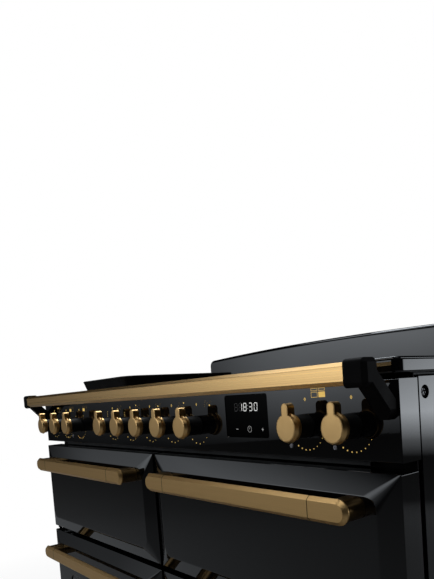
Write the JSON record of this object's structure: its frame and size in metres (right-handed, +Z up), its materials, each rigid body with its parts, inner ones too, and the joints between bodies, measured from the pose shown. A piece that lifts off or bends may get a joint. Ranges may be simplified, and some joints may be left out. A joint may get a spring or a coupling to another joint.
{
  "type": "induction range cooker",
  "caption": "Wide freestanding range cooker: black enamel front, brass rail, handles and lever knobs, induction hob with griddle, grill door, heated drawer and side-hung oven doors.",
  "frame": {"origin": "centre of the overall box at floor level, under the feet", "axes": "+X to the right seen from the front, +Y to the rear, +Z up; the doors face -Y"},
  "size_m": [1.092, 0.622, 0.9955],
  "materials": {
    "gloss_black_enamel": "gloss vitreous enamel",
    "satin_black": "satin powder coat",
    "cavity_enamel": "speckled gloss enamel",
    "brushed_brass": "brushed along its length",
    "black_ceramic_glass": "opaque polished",
    "smoked_glass": "dark tinted, polished",
    "zinc_steel": "zinc plated sheet",
    "stainless_steel": "brushed stainless",
    "chrome_wire": "bright plated wire",
    "heater_steel": "oxidised steel sheath",
    "coil_aluminium": "plain sheet",
    "black_rubber": "matt",
    "black_plastic": "moulded matt",
    "grey_lens": "clear moulded lens",
    "black_cast_iron": "non-stick coated"
  },
  "bodies": {
    "cooker": {"control_fascia": "gloss_black_enamel", "upstand": "gloss_black_enamel", "left_side_panel": "gloss_black_enamel", "right_side_panel": "gloss_black_enamel", "plinth": "gloss_black_enamel", "hob_tray": "satin_black", "face_frame": "satin_black", "vent_trim": "satin_black", "rail_brackets": "satin_black", "door_hinges": "satin_black", "grill_liner": "cavity_enamel", "left_oven_liner": "cavity_enamel", "right_oven_liner": "cavity_enamel", "grill_pan": "cavity_enamel", "handrail": "brushed_brass", "hob_glass": "black_ceramic_glass", "clock_module": "black_ceramic_glass", "chassis": "zinc_steel", "rear_panel": "zinc_steel", "drawer_housing": "zinc_steel", "roller_brackets": "zinc_steel", "terminal_box": "zinc_steel", "fan_housings": "stainless_steel", "oven_shelving": "chrome_wire", "grill_element": "heater_steel", "coil_carrier": "coil_aluminium", "door_seals": "black_rubber", "control_switches": "black_plastic", "indicator_lenses": "grey_lens"},
    "grill_door": {"grill_door_panel": "gloss_black_enamel", "grill_door_liner": "cavity_enamel", "grill_door_handle": "brushed_brass"},
    "left_oven_door": {"left_oven_door_panel": "gloss_black_enamel", "left_oven_door_liner": "cavity_enamel", "left_oven_door_glass": "smoked_glass", "left_oven_door_handle": "brushed_brass"},
    "right_oven_door": {"right_oven_door_panel": "gloss_black_enamel", "right_oven_door_liner": "cavity_enamel", "right_oven_door_glass": "smoked_glass", "right_oven_door_handle": "brushed_brass"},
    "drawer": {"drawer_front": "gloss_black_enamel", "drawer_box": "stainless_steel", "drawer_handle": "brushed_brass"},
    "left_fan": {"left_oven_fan": "stainless_steel"},
    "right_fan": {"right_oven_fan": "stainless_steel"},
    "left_front_foot": {"left_foot": "black_plastic"},
    "right_front_foot": {"right_foot": "black_plastic"},
    "left_rear_roller": {"left_roller": "black_rubber"},
    "right_rear_roller": {"right_roller": "black_rubber"},
    "griddle": {"griddle_plate": "black_cast_iron"},
    "grill_control": {"grill_knob": "brushed_brass"},
    "left_oven_mode_control": {"left_oven_mode_knob": "brushed_brass"},
    "left_oven_heat_control": {"left_oven_heat_knob": "brushed_brass"},
    "zone_one_control": {"zone_one_knob": "brushed_brass"},
    "zone_two_control": {"zone_two_knob": "brushed_brass"},
    "zone_three_control": {"zone_three_knob": "brushed_brass"},
    "zone_four_control": {"zone_four_knob": "brushed_brass"},
    "zone_five_control": {"zone_five_knob": "brushed_brass"},
    "drawer_heat_control": {"drawer_heat_knob": "brushed_brass"},
    "right_oven_heat_control": {"right_oven_heat_knob": "brushed_brass"}
  },
  "joints": [
    {"name": "grill_door_hinge", "type": "hinge", "parent": "cooker", "child": "grill_door", "pos_m": [-0.2743, -0.256, 0.586], "axis": [1, 0, 0], "range_deg": [0, 88]},
    {"name": "left_oven_door_hinge", "type": "hinge", "parent": "cooker", "child": "left_oven_door", "pos_m": [-0.5385, -0.251, 0.3305], "axis": [0, 0, -1], "range_deg": [0, 110]},
    {"name": "right_oven_door_hinge", "type": "hinge", "parent": "cooker", "child": "right_oven_door", "pos_m": [0.5385, -0.251, 0.3305], "axis": [0, 0, 1], "range_deg": [0, 110]},
    {"name": "drawer_slide", "type": "slide", "parent": "cooker", "child": "drawer", "axis": [0, -1, 0], "range_m": [0, 0.35]},
    {"name": "griddle_lift", "type": "slide", "parent": "cooker", "child": "griddle", "axis": [0, 0, 1], "range_m": [0, 0.25]},
    {"name": "grill_turn", "type": "hinge", "parent": "cooker", "child": "grill_control", "pos_m": [-0.4838, -0.259, 0.8295], "axis": [0, 1, 0], "range_deg": [0, 270]},
    {"name": "left_oven_mode_turn", "type": "hinge", "parent": "cooker", "child": "left_oven_mode_control", "pos_m": [-0.4067, -0.259, 0.8295], "axis": [0, 1, 0], "range_deg": [0, 270]},
    {"name": "left_oven_heat_turn", "type": "hinge", "parent": "cooker", "child": "left_oven_heat_control", "pos_m": [-0.3296, -0.259, 0.8295], "axis": [0, 1, 0], "range_deg": [0, 270]},
    {"name": "zone_one_turn", "type": "hinge", "parent": "cooker", "child": "zone_one_control", "pos_m": [-0.157, -0.259, 0.8295], "axis": [0, 1, 0], "range_deg": [0, 270]},
    {"name": "zone_two_turn", "type": "hinge", "parent": "cooker", "child": "zone_two_control", "pos_m": [-0.0798, -0.259, 0.8295], "axis": [0, 1, 0], "range_deg": [0, 270]},
    {"name": "zone_three_turn", "type": "hinge", "parent": "cooker", "child": "zone_three_control", "pos_m": [-0.0027, -0.259, 0.8295], "axis": [0, 1, 0], "range_deg": [0, 270]},
    {"name": "zone_four_turn", "type": "hinge", "parent": "cooker", "child": "zone_four_control", "pos_m": [0.0745, -0.259, 0.8295], "axis": [0, 1, 0], "range_deg": [0, 270]},
    {"name": "zone_five_turn", "type": "hinge", "parent": "cooker", "child": "zone_five_control", "pos_m": [0.1517, -0.259, 0.8295], "axis": [0, 1, 0], "range_deg": [0, 270]},
    {"name": "drawer_heat_turn", "type": "hinge", "parent": "cooker", "child": "drawer_heat_control", "pos_m": [0.4012, -0.259, 0.8295], "axis": [0, 1, 0], "range_deg": [0, 270]},
    {"name": "right_oven_heat_turn", "type": "hinge", "parent": "cooker", "child": "right_oven_heat_control", "pos_m": [0.4784, -0.259, 0.8295], "axis": [0, 1, 0], "range_deg": [0, 270]},
    {"name": "left_fan_spin", "type": "hinge", "parent": "cooker", "child": "left_fan", "pos_m": [-0.2743, 0.227, 0.3325], "axis": [0, 1, 0], "continuous": true},
    {"name": "left_foot_screw", "type": "hinge", "parent": "cooker", "child": "left_front_foot", "pos_m": [-0.465, -0.171, 0.03], "axis": [0, 0, 1], "continuous": true},
    {"name": "left_roller_spin", "type": "hinge", "parent": "cooker", "child": "left_rear_roller", "pos_m": [-0.465, 0.209, 0.025], "axis": [1, 0, 0], "continuous": true},
    {"name": "right_fan_spin", "type": "hinge", "parent": "cooker", "child": "right_fan", "pos_m": [0.2743, 0.227, 0.3325], "axis": [0, 1, 0], "continuous": true},
    {"name": "right_foot_screw", "type": "hinge", "parent": "cooker", "child": "right_front_foot", "pos_m": [0.465, -0.171, 0.03], "axis": [0, 0, 1], "continuous": true},
    {"name": "right_roller_spin", "type": "hinge", "parent": "cooker", "child": "right_rear_roller", "pos_m": [0.465, 0.209, 0.025], "axis": [1, 0, 0], "continuous": true}
  ]
}
